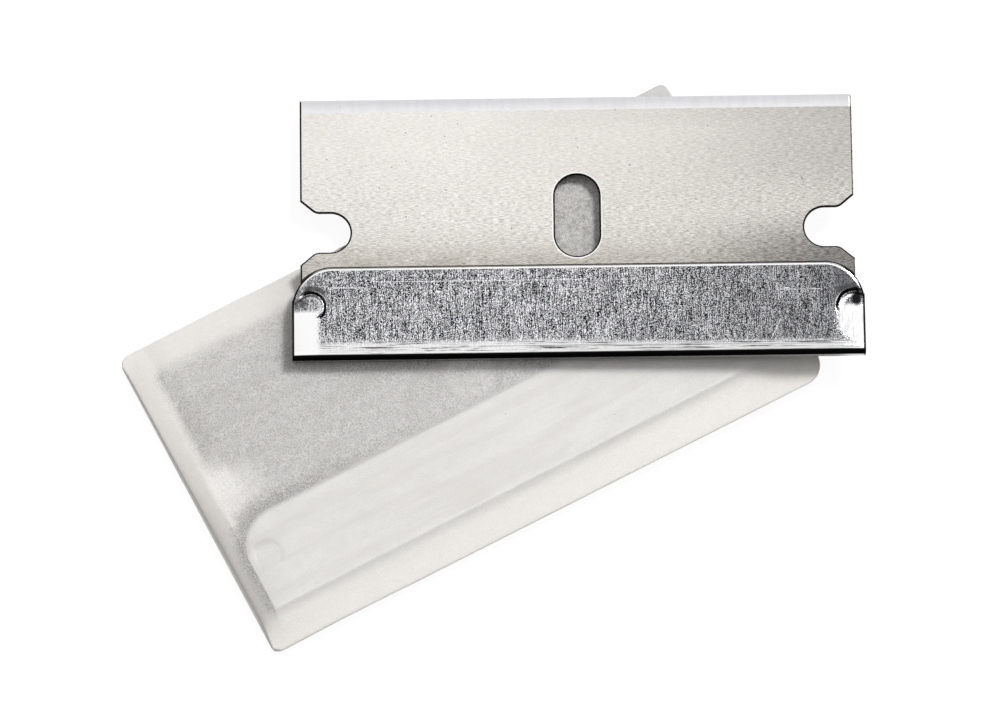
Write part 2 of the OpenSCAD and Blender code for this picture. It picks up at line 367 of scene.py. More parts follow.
# The fold and the rims are rolled flatter than a circle: power of their rounding
ROUND_POWER = 3
END_EASE = 0.06
END_EASE_FACE = END_EASE * 0.6
INNER_COLUMNS = 5
PINCH_L = 1.9
PINCH_DEPTH = 0.14
SLIT_GAP = 0.012
SLIT_Z = STRIP_T / 2 + SLIT_GAP
# Least sheet that a press leaves beside the slit, and thickness over which the press fades towards it
SHEET_LEFT, PRESS_FADE = 0.02, 0.15
# Stakes: side, middle from the end of the back, height, radius, depth, and the pressed arc's middle and
# half span in degrees, with 0 towards +X and 90 towards the rim
STAKES = (
    (-1, 1.28, 3.72, 1.0, 0.2, 35, 98),
    (1, 0.73, 3.3, 1.17, 0.2, 131, 64),
)
STAKE_GROOVE_W = 0.07
# Wide shallow hollow that the punch leaves round a stake
DENT_DEPTH, DENT_R = 0.05, 1.8


def rim_height(x):
    """Height of the back's rim at x, drawn down by the two large corners."""
    past = np.clip(np.abs(x) - CORNER_X, 0, BACK_CORNER_R)
    return CORNER_Y + np.sqrt(BACK_CORNER_R**2 - past**2)


def rim_distance(x, y):
    """Distance inwards from the back's rim, straight or round a corner, and from its ends below the corners."""
    past_x = np.abs(x) - CORNER_X
    past_y = y - CORNER_Y
    round_part = BACK_CORNER_R - np.hypot(np.maximum(past_x, 0), np.maximum(past_y, 0))
    return np.where(past_x > 0, round_part, BACK_H - y)


def rim_drop(x, y):
    """Drop of the rolled rim below the leaf's face. The rim fades out where a corner meets the end."""
    side = smoothstep((np.abs(x) - CORNER_X) / BACK_CORNER_R * 1.5 - 0.4)
    radius = RIM_R * (1 - side * (1 - smoothstep((y - RIM_FADE_Y) / RIM_FADE_H)) * RIM_FADE)
    near = np.clip(1 - rim_distance(x, y) / radius, 0, 1)
    return radius * (1 - (1 - near**ROUND_POWER) ** (1 / ROUND_POWER))


def stake_drop(x, y):
    """Depth pressed into a leaf at each point by the two stakes: a sharp arc and a floor that tilts up from it."""
    total = np.zeros_like(x)
    for end, from_end, height, radius, depth, middle, half_span in STAKES:
        dx = x - end * (BACK_L / 2 - from_end)
        dy = y - height
        r = np.hypot(dx, dy)
        turned = np.abs((np.degrees(np.arctan2(dy, dx)) - middle + 180) % 360 - 180)
        bite = smoothstep((half_span + 10 - turned) / 30)
        total += np.exp(-(((r - radius) / STAKE_GROOVE_W) ** 2)) * depth * bite
        tilt = np.clip(0.5 + 0.6 * dy / radius, 0, 1)
        total += smoothstep((radius - r) / 0.3) * depth * 0.5 * tilt * smoothstep(0.8 + dy / radius)
        total += DENT_DEPTH * np.exp(-((r / DENT_R) ** 2))
    return total


def pinch_drop(x):
    """Depth by which the ends of each leaf are pressed together."""
    past = np.clip(np.abs(x) - (BACK_L / 2 - PINCH_L), 0, None) / PINCH_L
    return PINCH_DEPTH * past**1.6


def back_stations(fine, coarse):
    """Places along the back: close together over the staked ends, wider between them."""
    even = np.linspace(0, 1, fine)
    crowded = np.sin(np.radians(90 * even))
    right = CORNER_X + (BACK_CORNER_R - END_EASE) * (0.6 * even + 0.4 * crowded)
    middle = np.linspace(-CORNER_X, CORNER_X, coarse)[1:-1]
    return np.concatenate([-right[::-1], middle, right])


def back_section(x, columns):
    """Upper half of the closed section at x: over the fold, along the leaf, round the rim and back inside."""
    top = BACK_T / 2
    rim = float(rim_height(x))
    turns = np.radians(np.linspace(0, 90, 13))
    power = 2 / ROUND_POWER
    fold = [(FOLD_R * (1 - math.cos(a) ** power), top - FOLD_R * (1 - math.sin(a) ** power)) for a in turns]
    share = np.linspace(0, 1, columns)[1:]
    share = 0.5 * share + 0.5 * (1 - (1 - share) ** 2)
    y = FOLD_R + (rim - FOLD_R) * share
    leaf = list(zip(y, top - rim_drop(np.full_like(y, x), y)))
    under = [(rim - 0.02, SLIT_Z + 0.08), (rim - 0.08, SLIT_Z)]
    inner = [(v, SLIT_Z) for v in np.linspace(rim - 0.4, SHEET_T, INNER_COLUMNS)]
    return [(0, 0)] + fold + leaf + under + inner


def back_piece(name, matrix, materials, fine, coarse, columns):
    """Folded back, lofted along its length, with rounded ends, rims and fold."""
    half = BACK_L / 2
    stations = back_stations(fine, coarse)
    rings = []
    for x in stations:
        upper = back_section(x, columns)
        lower = [(y, -z) for y, z in reversed(upper[1:])]
        rings.append(np.array([(x, y, z) for y, z in upper + lower]))
    count = len(rings[0])
    points = np.concatenate(rings)
    x, y, z = points.T
    body = smoothstep((np.abs(z) - SLIT_Z) / PRESS_FADE)
    fold_share = 0.4 + 0.6 * smoothstep(y / FOLD_R / 2)
    drop = (stake_drop(x, y) + pinch_drop(x) * fold_share) * body
    points[:, 2] -= np.sign(z) * np.minimum(drop, np.maximum(np.abs(z) - SLIT_Z - SHEET_LEFT, 0))
    ends = []
    for ring, end in ((points[:count].copy(), -1), (points[-count:].copy(), 1)):
        outer = np.abs(ring[:, 2]) > SLIT_Z + 0.001
        ring[:, 0] = end * half
        ring[:, 1] += np.where(outer, END_EASE_FACE * np.sign(2 - ring[:, 1]), 0)
        ring[:, 2] -= np.where(outer, END_EASE_FACE * np.sign(ring[:, 2]), 0)
        ends.append(ring)
    points = np.concatenate([ends[0], points, ends[1]])
    total = len(stations) + 2
    faces = loft_faces(total, count)
    leaf = list(range(1, (count + 1) // 2))
    mirrored = [count - i for i in leaf]
    for base in (0, (total - 1) * count):
        for loop in (leaf, mirrored, [0, leaf[0], leaf[-1], mirrored[-1], mirrored[0]]):
            faces.append(tuple(base + i for i in loop))
    return add_mesh(name, points, faces, matrix, materials)


# Paper packet: one sheet folded round the wrapped blade, drawn as rings across it at stations along it

loose_tilt = math.acos(min(1, face_up.z))

HALF_PACKET = PACKET_L / 2
BACK_SIDE_CLOSED = -float(sleeve_points[sleeve_points[:, 0] < 1 - HALF_PACKET, 1].min())
BACK_SIDE_OPEN = -float(sleeve_points[:, 1].min())
FOLD_H = 0.32
FOLD_LIFT = 0.5
OPEN_LIFT = 0.9
LIFT_IN = 5
FLAT_PAST = 0.15
# Share of a straight slope in the paper's rise and fall beside the blade
DRAPE_STRAIGHT = 0.45
CLOSED_BACK_R, CLOSED_EDGE_R, OPEN_BACK_R, OPEN_EDGE_R = 0.7, 0.8, 1.5, 0.45
END_FALL = float(wrapped_points[:, 0].min()) + HALF_PACKET
# How far the closed end falls in a straight slope, where 0 is a quarter of an ellipse
END_SLOPE = 0.75
SEAM_IN = 6.4
SEAM_STEP = 0.3
FLAP_RAMP = 2.5
FLAP_TAPER = 1.6
CURL_PROUD, LEAF_GAP, TIP_EASE = 0.005, 0.002, 0.05
PAPER, PAPER_INSIDE, PAPER_UNDER = range(3)
FOLD_STEPS = 7
NOSE_RINGS = 3


def drawn_in(radius, distance):
    """How far a round corner draws a side in, at a distance from the end."""
    left = np.clip(radius - distance, 0, radius)
    return radius - np.sqrt(radius**2 - left**2)


def packet_sides(u):
    """Places across the packet of its back's fold and its edge's fold at station u."""
    from_closed = u + HALF_PACKET
    share = from_closed / PACKET_L
    half = BACK_SIDE_CLOSED * (1 - share) + BACK_SIDE_OPEN * share
    from_open = HALF_PACKET - u
    back = -half + drawn_in(CLOSED_BACK_R, from_closed) + drawn_in(OPEN_BACK_R, from_open)
    edge = half - drawn_in(CLOSED_EDGE_R, from_closed) - drawn_in(OPEN_EDGE_R, from_open)
    return back, edge


def under_height(u, v, back):
    """Height of the packet's underside: over the flap, at the lap seam, and up to the fold beside the back."""
    past = np.clip((u - FLAP_TIP) / FLAP_RAMP, 0, 1)
    over_flap = FLAP_T * (1 - smoothstep(past))
    over_seam = PAPER_T * smoothstep((-SEAM_IN - v) / SEAM_STEP)
    flat_from = BACK_LINE + FLAT_PAST
    full = FOLD_LIFT + (OPEN_LIFT - FOLD_LIFT) * (u + HALF_PACKET) / PACKET_L
    lift = full * smoothstep((flat_from - v) / (flat_from - back)) * min(1, (u + HALF_PACKET) / LIFT_IN)
    return np.maximum(over_flap, over_seam) + lift


def drape_height(v, back, edge, low):
    """Height of the paper over the wrapped blade, from fold to fold."""
    flat_from = BACK_LINE + FLAT_PAST
    flat_to = EDGE_LINE + FLAT_PAST
    slope = math.tan(loose_tilt)
    over = PACKET_TOP - slope * np.maximum(v - RIDGE_LINE, 0)
    edge_top = PACKET_TOP - slope * (flat_to - RIDGE_LINE)
    rise = np.clip((v - back) / (flat_from - back), 0, 1)
    fall = np.clip((v - flat_to) / (edge - flat_to), 0, 1)
    rise, fall = (DRAPE_STRAIGHT * x + (1 - DRAPE_STRAIGHT) * smoothstep(x) for x in (rise, fall))
    side = low + (PACKET_TOP - low) * rise
    return np.where(v < flat_from, side, np.where(v > flat_to, edge_top + (low - edge_top) * fall, over))


def sleeve_ring(u, columns):
    """Outer ring at station u: over the top from the back's fold to the edge's fold, and back beneath."""
    back, edge = packet_sides(u)
    r = FOLD_H / 2
    left = np.clip(1 - (u + HALF_PACKET) / END_FALL, 0, 1)
    share = END_SLOPE * (1 - left) + (1 - END_SLOPE) * math.sqrt(1 - left**2)
    nose = math.sqrt(1 - (1 - np.clip((u + HALF_PACKET) / r, 0, 1)) ** 2)
    v = np.linspace(0, 1, columns)
    v = back + r + (edge - back - 2 * r) * (0.75 * v + 0.25 * smoothstep(v))
    bottom = under_height(u, v, back)
    low = bottom + FOLD_H
    top = low + share * (drape_height(v, back, edge, low) - low)
    middle = bottom + r
    top = middle + (top - middle) * nose
    bottom = middle + (bottom - middle) * nose
    turns = np.radians(np.linspace(90, -90, FOLD_STEPS + 2))[1:-1]
    right = [(edge - r + r * math.cos(a) * nose, middle[-1] + r * math.sin(a) * nose) for a in turns]
    left_side = [(back + r - r * math.cos(a) * nose, middle[0] + r * math.sin(a) * nose) for a in turns[::-1]]
    across = list(zip(v, top)) + right + list(zip(v[::-1], bottom[::-1])) + left_side
    return np.array([(u, a, z) for a, z in across])


def sleeve_piece(name, matrix, materials, columns, lengthwise):
    """Waxed paper sleeve with its thickness: a closed end, and an open one that shows its cut edge."""
    even = np.linspace(0, 1, 12)
    closed = -HALF_PACKET + END_FALL * (1 - np.cos(np.radians(90 * even)))
    opening = HALF_PACKET - OPEN_BACK_R * (1 - np.sin(np.radians(90 * even)))
    middle = np.linspace(closed[-1], opening[0], lengthwise)[1:-1]
    stations = np.concatenate([closed, middle, opening])
    outer = np.array([sleeve_ring(u, columns) for u in stations])
    along = np.gradient(outer, axis=0)
    around = np.roll(outer, -1, 1) - np.roll(outer, 1, 1)
    normal = np.cross(along, around)
    length = np.linalg.norm(normal, axis=2, keepdims=True)
    normal = normal / np.maximum(length, 1e-9)
    middles = outer.mean(1, keepdims=True)
    if (normal * (outer - middles)).sum() < 0:
        normal = -normal
    inner = (outer - normal * PAPER_T)[NOSE_RINGS:]
    count = outer.shape[1]
    rings = np.concatenate([outer, inner[::-1]])
    points = rings.reshape(-1, 3)
    faces = loft_faces(len(rings), count)
    under = range(columns + FOLD_STEPS, 2 * columns + FOLD_STEPS)
    slots = [PAPER_INSIDE if i >= len(outer) * count else PAPER_UNDER if i % count in under else PAPER
             for i in range(len(faces))]
    # The inner skin ends in the closed end's nose, where its upper and lower rows are joined
    base = (len(rings) - 1) * count
    opposite = 2 * columns + FOLD_STEPS - 1
    caps = [(j, j + 1, opposite - j - 1, opposite - j) for j in range(columns - 1)]
    caps.append(range(columns - 1, columns + FOLD_STEPS + 1))
    caps.append([*range(opposite, count), 0])
    for cap in caps:
        faces.append(tuple(base + j for j in cap))
        slots.append(PAPER_INSIDE)
    return add_mesh(name, points, faces, matrix, materials, slots)


def flap_piece(name, matrix, materials, columns):
    """End flap under the packet, with the fold that curls down from the closed end. Both leaves of it are drawn."""
    nose_r = FOLD_H / 2
    nose_u = nose_r - HALF_PACKET
    nose_z = FLAP_T + nose_r
    turns = np.linspace(110, 270, 15)
    cos, sin = np.cos(np.radians(turns)), np.sin(np.radians(turns))
    along = np.linspace(nose_u, FLAP_TIP, 40)[1:]
    tip_ease = np.maximum(0, along - FLAP_TIP + TIP_EASE)

    def leaf(r, drop, under):
        """One leaf: round the curl, and along under the packet."""
        curl = np.column_stack([nose_u + r * cos, nose_z + drop * sin])
        return np.concatenate([curl, np.column_stack([along, under])])

    outer_r, inner_r = nose_r + CURL_PROUD, nose_r + LEAF_GAP
    outer = leaf(outer_r, np.where(turns > 180, nose_z, outer_r), tip_ease)
    inner = leaf(inner_r, inner_r, FLAP_T - LEAF_GAP - tip_ease)
    section = np.concatenate([outer, inner[::-1]])
    from_root = np.clip(section[:, 0] + HALF_PACKET, 0, None)
    taper = FLAP_TAPER * from_root / (FLAP_TIP + HALF_PACKET)
    back = -BACK_SIDE_CLOSED + taper + drawn_in(CLOSED_BACK_R, from_root)
    edge = BACK_SIDE_CLOSED - taper - drawn_in(CLOSED_EDGE_R, from_root)
    rings = []
    for share in np.linspace(0, 1, columns):
        rings.append(np.column_stack([section[:, 0], back + (edge - back) * share, section[:, 1]]))
    count = len(section)
    faces = loft_faces(columns, count)
    for base in (0, (columns - 1) * count):
        for i in range(count // 2 - 1):
            faces.append((base + i, base + i + 1, base + count - 2 - i, base + count - 1 - i))
    return add_mesh(name, np.concatenate(rings), faces, matrix, materials)


# Materials

class Nodes:
    """Node tree that is filled by short calls."""

    def __init__(self, tree):
        self.tree = tree
        tree.nodes.clear()

    def put(self, socket, value):
        if isinstance(value, bpy.types.NodeSocket):
            self.tree.links.new(value, socket)
        else:
            socket.default_value = value

    def add(self, kind, *values, **settings):
        """New node with its settings, and with values in its first inputs."""
        node = self.tree.nodes.new("ShaderNode" + kind)
        for key, value in settings.items():
            setattr(node, key, value)
        for socket, value in zip(node.inputs, values):
            self.put(socket, value)
        return node

    def shader(self, kind, *values):
        return self.add(kind, *values).outputs[0]

    def vector(self, operation, first, second, output=0):
        return self.add("VectorMath", first, second, operation=operation).outputs[output]

    def math(self, operation, *values, clamp=False):
        return self.add("Math", *values, operation=operation, use_clamp=clamp).outputs[0]

    def chain(self, operation, values):
        """One operation over several values, from the first one on."""
        total = values[0]
        for value in values[1:]:
            total = self.math(operation, total, value)
        return total

    def plus(self, *values):
        return self.chain("ADD", values)

    def minus(self, first, second):
        return self.math("SUBTRACT", first, second)

    def times(self, *values):
        return self.chain("MULTIPLY", values)

    def strongest(self, *values):
        return self.chain("MAXIMUM", values)

    def scaled(self, value, factor, offset):
        return self.math("MULTIPLY_ADD", value, factor, offset)

    def hypot(self, first, second):
        return self.math("SQRT", self.plus(self.math("POWER", first, 2), self.math("POWER", second, 2)))

    def ramp(self, value, low, high, to_low=0.0, to_high=1.0):
        """Smooth step of value from low to high."""
        node = self.add("MapRange", value, low, high, to_low, to_high, interpolation_type="SMOOTHSTEP")
        return node.outputs["Result"]


# How far in from its ends a mark fades: a scratch in millimetres, an arc in radians
SCRATCH_FADE = 0.3
ARC_FADE = 0.35


class Graph(Nodes):
    """Node tree of one material, with the piece's own coordinates in millimetres and the colour laid on so far."""

    def __init__(self, name):
        self.material = bpy.data.materials.new(name)
        self.material.use_nodes = True
        super().__init__(self.material.node_tree)
        scale = self.add("VectorMath", self.add("TexCoord").outputs["Object"], operation="SCALE")
        scale.inputs["Scale"].default_value = 1 / MM
        self.coords = scale.outputs[0]
        self.x, self.y, self.z = self.add("SeparateXYZ", self.coords).outputs
        self.colour = None

    def corner(self, x_range, y_range):
        """1 past both a place along X and one along Y."""
        return self.times(self.ramp(self.x, *x_range), self.ramp(self.y, *y_range))

    def moved(self, stretch, shift):
        return self.vector("ADD", self.vector("MULTIPLY", self.coords, stretch), shift)

    def noise(self, stretch, detail=3, roughness=0.5, shift=0):
        """Noise whose features are about 1/stretch millimetres, with one stretch or one for each axis."""
        if not isinstance(stretch, tuple):
            stretch = (stretch,) * 3
        node = self.add("TexNoise", self.moved(stretch, (shift, shift * 1.7, shift * 0.6)))
        for name, value in (("Scale", 1), ("Detail", detail), ("Roughness", roughness)):
            node.inputs[name].default_value = value
        return node.outputs["Fac"]

    def specks(self, per_mm, radius, kept, shift=0):
        """1 inside scattered dots, 0 elsewhere. kept is the share of the cells that hold one."""
        at = self.moved((per_mm, per_mm, 0), (shift, shift, 0))
        node = self.add("TexVoronoi", at, voronoi_dimensions="2D")
        node.inputs["Scale"].default_value = 1
        dot = self.ramp(node.outputs["Distance"], radius * per_mm, radius * per_mm * 0.4)
        parts = self.add("SeparateColor", node.outputs["Color"])
        return self.times(dot, self.math("LESS_THAN", parts.outputs[0], kept))

    def turned(self, dx, dy, ux, uy):
        """Distances along the direction (ux, uy) and to its left."""
        return (self.plus(self.times(dx, ux), self.times(dy, uy)),
                self.minus(self.times(dy, ux), self.times(dx, uy)))

    def scratch(self, x0, y0, x1, y1, width):
        """1 along a straight scratch between two points, fading at its ends."""
        length = math.hypot(x1 - x0, y1 - y0)
        ux, uy = (x1 - x0) / length, (y1 - y0) / length
        along, off = self.turned(self.minus(self.x, x0), self.minus(self.y, y0), ux, uy)
        line = self.ramp(self.math("ABSOLUTE", off), width, 0)
        start = self.ramp(along, 0, SCRATCH_FADE)
        end = self.ramp(along, length, length - SCRATCH_FADE)
        return self.times(start, end, line)

    def pressed_arc(self, cx, cy, radius, middle, half_span, width, wobble=0.0):
        """1 along part of a circle round (cx, cy), half_span degrees to each side of the middle's direction."""
        dx = self.minus(self.x, cx)
        dy = self.minus(self.y, cy)
        along, across = self.turned(dx, dy, math.cos(math.radians(middle)), math.sin(math.radians(middle)))
        angle = self.math("ABSOLUTE", self.math("ARCTAN2", across, along))
        away = self.hypot(dx, dy)
        if wobble:
            away = self.plus(away, self.scaled(self.noise((1.6, 1.6, 1), detail=2), wobble, -wobble / 2))
        line = self.ramp(self.math("ABSOLUTE", self.minus(away, radius)), width, width * 0.4)
        half = math.radians(half_span)
        return self.times(line, self.ramp(angle, half, half - ARC_FADE))

    def blob(self, cx, cy, rx, ry, soft=0.4):
        """1 inside an ellipse, with a soft border."""
        dx = self.math("DIVIDE", self.minus(self.x, cx), rx)
        dy = self.math("DIVIDE", self.minus(self.y, cy), ry)
        away = self.hypot(dx, dy)
        return self.ramp(away, 1 + soft, 1 - soft)

    def mix(self, share, first, second, blend="MIX"):
        node = self.add("Mix", data_type="RGBA", blend_type=blend)
        self.put(node.inputs["Factor"], share)
        self.put(node.inputs[6], rgba(first))
        self.put(node.inputs[7], rgba(second))
        return node.outputs[2]

    def paint(self, tint, mask, share=None):
        """Lays a tint over the colour so far where the mask is, at a share of its strength."""
        if share is not None:
            mask = self.times(mask, share)
        self.colour = self.mix(mask, self.colour, tint)

    def grey(self, value):
        """Colour with the same value in each channel."""
        return self.add("CombineColor", value, value, value).outputs[0]

    def bump(self, height, distance):
        """Bump of a height in 0..1 that stands for distance millimetres."""
        node = self.add("Bump")
        self.put(node.inputs["Height"], height)
        node.inputs["Distance"].default_value = distance * MM
        return node.outputs[0]

    def principled(self, **inputs):
        node = self.add("BsdfPrincipled", self.colour)
        for key, value in inputs.items():
            self.put(node.inputs[key.replace("_", " ").title().replace("Ior", "IOR")], value)
        return node.outputs[0]

    def finish(self, shader):
        self.add("OutputMaterial", shader)
        return self.material

    def metal(self, roughness, normal=None):
        """Material of plain metal in the colour laid on."""
        bumps = {} if normal is None else {"normal": normal}
        return self.finish(self.principled(metallic=1.0, roughness=roughness, **bumps))


def rgba(colour):
    """Colour for a socket: from a socket as it is, from a number a grey."""
    if isinstance(colour, tuple):
        return (*colour, 1)
    if isinstance(colour, bpy.types.NodeSocket):
        return colour
    return (colour, colour, colour, 1)


def rim_line(g, x_middle=0, y_fold=0):
    """Distance outwards from a back's rim in the face's plane, negative on the back."""
    from_middle = g.math("ABSOLUTE", g.minus(g.x, x_middle))
    past_x = g.math("MAXIMUM", g.minus(from_middle, CORNER_X), 0)
    past_y = g.math("MAXIMUM", g.minus(g.y, y_fold + CORNER_Y), 0)
    return g.minus(g.hypot(past_x, past_y), BACK_CORNER_R)


def blade_face_material():
    """Ground steel: fine lengthwise dashes, a few specks, a stain along the back with a darker corner beside it,
    and painted shade towards the right, towards the back and in the crevice at the back's rim.
    """
    g = Graph("blade_face")
    dashes = g.noise((2.6, 26, 1), detail=4, roughness=0.72)
    cloud = g.noise((0.12, 0.2, 1), roughness=0.55, shift=3)
    to_right = g.ramp(g.x, 2, 21)
    by_height = g.ramp(g.y, 17.5, 8)
    # Painted shade: the steel's colour darkens towards the right, towards the back and near the sharp edge on the
    # right, for light that falls off across the strip
    g.colour = g.mix(g.ramp(g.x, -10, 6), (0.86, 0.836, 0.793), (0.765, 0.742, 0.7))
    g.paint((0.6, 0.577, 0.533), by_height, 0.25)
    g.paint((0.3, 0.29, 0.272), g.times(to_right, g.ramp(g.y, 10, 14.5, 0.27, 0.57)))
    g.paint((0.3, 0.29, 0.28), g.corner((-8, 2), (16.2, 17.4)), 0.1)
    g.paint((0.55, 0.53, 0.5), g.ramp(cloud, 0.45, 0.75, 0, 0.12))
    g.paint((0.42, 0.4, 0.37), g.ramp(g.y, 9.9, 8.2, 0, 0.2))
    warm = g.times(g.ramp(g.y, 8.3, 7.8), g.ramp(cloud, 0.4, 0.6, 0.4, 1))
    g.paint((0.6, 0.55, 0.47), warm, 0.3)
    # Brownish grey stain along the back, and a darker right-hand corner beside it
    by_back = g.ramp(g.y, 8.6, 6.3)
    corner = g.corner((5, 18), (11, 7.2))
    uneven = g.ramp(g.noise((0.5, 2.5, 1), shift=11), 0.3, 0.7, 0.5, 1)
    g.paint((0.3, 0.275, 0.235), g.times(by_back, 0.6, uneven))
    g.paint((0.16, 0.157, 0.152), corner, 0.8)
    # The dashes stand out more towards the back and on the right
    strength = g.plus(g.scaled(by_height, 1.9, 1.2), g.times(to_right, 1.3), g.times(corner, 1.8))
    dashed = g.scaled(g.minus(dashes, 0.5), strength, 1)
    g.colour = g.mix(1.0, g.colour, g.grey(dashed), "MULTIPLY")
    # Painted shade: a dark line on the strip along the back's rim, in the crevice
    rim_crevice_shade = g.ramp(rim_line(g), 0.2, 0.16)
    g.paint(0.012, rim_crevice_shade, 0.95)
    g.paint((0.1, 0.1, 0.09), g.specks(1.1, 0.06, 0.1), 0.8)
    return g.metal(0.2, g.bump(dashes, 0.0015))


def bevel_material():
    """Ground bevel: cooler and smoother, darker towards the sharp edge, with faint marks of the grinding wheel."""
    g = Graph("bevel")
    streaks = g.noise((0.5, 14, 1), shift=5)
    marks = g.noise((3, 0.5, 1), shift=9)
    rise = g.ramp(g.y, BLADE_H - BEVEL_H * 1.05, BLADE_H - 0.15)
    g.colour = g.mix(rise, (0.88, 0.875, 0.885), (0.72, 0.715, 0.74))
    shade = g.plus(g.times(streaks, 0.4), g.times(marks, 0.6))
    g.paint((0.3, 0.3, 0.32), g.ramp(shade, 0.4, 0.65, 0, 0.1))
    g.paint(0.3, g.specks(0.8, 0.05, 0.08, shift=4), 0.5)
    return g.metal(0.09)


def polish_highlight_material():
    """Bright band round the slot, where the punch polished its edge, painted lighter than the face as a highlight
    along the cut.
    """
    g = Graph("polished_edge_highlight")
    wear = g.noise(5, detail=2)
    g.colour = g.mix(wear, (0.86, 0.86, 0.85), 0.97)
    return g.metal(g.ramp(wear, 0.3, 0.7, 0.3, 0.22))


def cut_shade_material():
    """Rough wall of a punched cut, painted nearly black as the shade along the cut, and lighter at the strip's
    sheared right-hand end.
    """
    g = Graph("cut_edge_shade")
    tear = g.noise((9, 9, 2))
    g.colour = g.mix(tear, 0.004, (0.03, 0.028, 0.026))
    sheared = g.times(g.ramp(g.x, STRIP_L / 2 - 0.06, STRIP_L / 2 - 0.03), g.ramp(tear, 0.3, 0.5))
    g.paint((0.8, 0.8, 0.79), sheared)
    return g.metal(g.ramp(tear, 0.3, 0.7, 0.45, 0.6), g.bump(tear, 0.01))


# Scratches on the bare back's face: ends in blade axes, width and strength
SCRATCHES = (
    (-17.29, 5.02, -14.27, 4.98, 0.06, 0.8),
    (-14.13, 5.41, 0.5, 5.4, 0.05, 0.8),
    (13.5, 4.5, 16.8, 4.5, 0.05, 0.55),
    (14, 4.6, 14.6, 4.6, 0.08, 0.9),
    (13.4, 4.1, 14.5, 4.5, 0.045, 0.55),
    (13.1, 0.9, 13.9, 2.5, 0.045, 0.7),
    (14.4, 1.3, 14.9, 0.7, 0.04, 0.6),
    (1, 5.3, 4.2, 5.4, 0.04, 0.6),
    (-6, 2.2, -3.8, 2.9, 0.03, 0.5),
)


# Painted shade by the stakes, middle in blade axes and half widths: spots round them, a ragged one in the
# right-hand stake's pocket, and its dark pit
STAKE_SHADE_SPOTS = (-19.1, 3.95, 0.45, 0.3), (17.85, 3.55, 0.2, 0.4), (19.1, 5.1, 0.3, 0.25)
POCKET_SHADE_SPOT = 18.65, 3.85, 0.62, 0.5
STAKE_PIT_SHADE = 19.05, 3.85, 0.36, 0.5


def stake_marks(g):
    """Masks over the two stakes: painted shade in the groove and round it, and painted highlights on the pressed
    metal inside it and just outside it.
    """
    groove_shades, stake_shades, lights = [], [], []
    for end, from_end, height, radius, _, middle, half_span in STAKES:
        cx = end * (BACK_L / 2 - from_end)
        groove_shades.append(g.pressed_arc(cx, height, radius, middle, half_span, 0.085, 0.14))
        lights.append(g.pressed_arc(cx, height, radius * 0.76, middle, half_span - 8, 0.24, 0.1))
        lights.append(g.pressed_arc(cx, height, radius + 0.14, middle, half_span * 0.7, 0.05))
        stake_shades.append(g.pressed_arc(cx, height, radius + 0.2, 90 + 15 * end, 45, 0.38))
    stake_shades += [g.blob(*place) for place in STAKE_SHADE_SPOTS]
    stake_shades.append(g.times(g.blob(*POCKET_SHADE_SPOT), g.ramp(g.noise((9, 9, 1), detail=2, shift=23), 0.6, 0.4)))
    return g.strongest(*groove_shades, g.blob(*STAKE_PIT_SHADE)), g.strongest(*stake_shades), g.strongest(*lights)


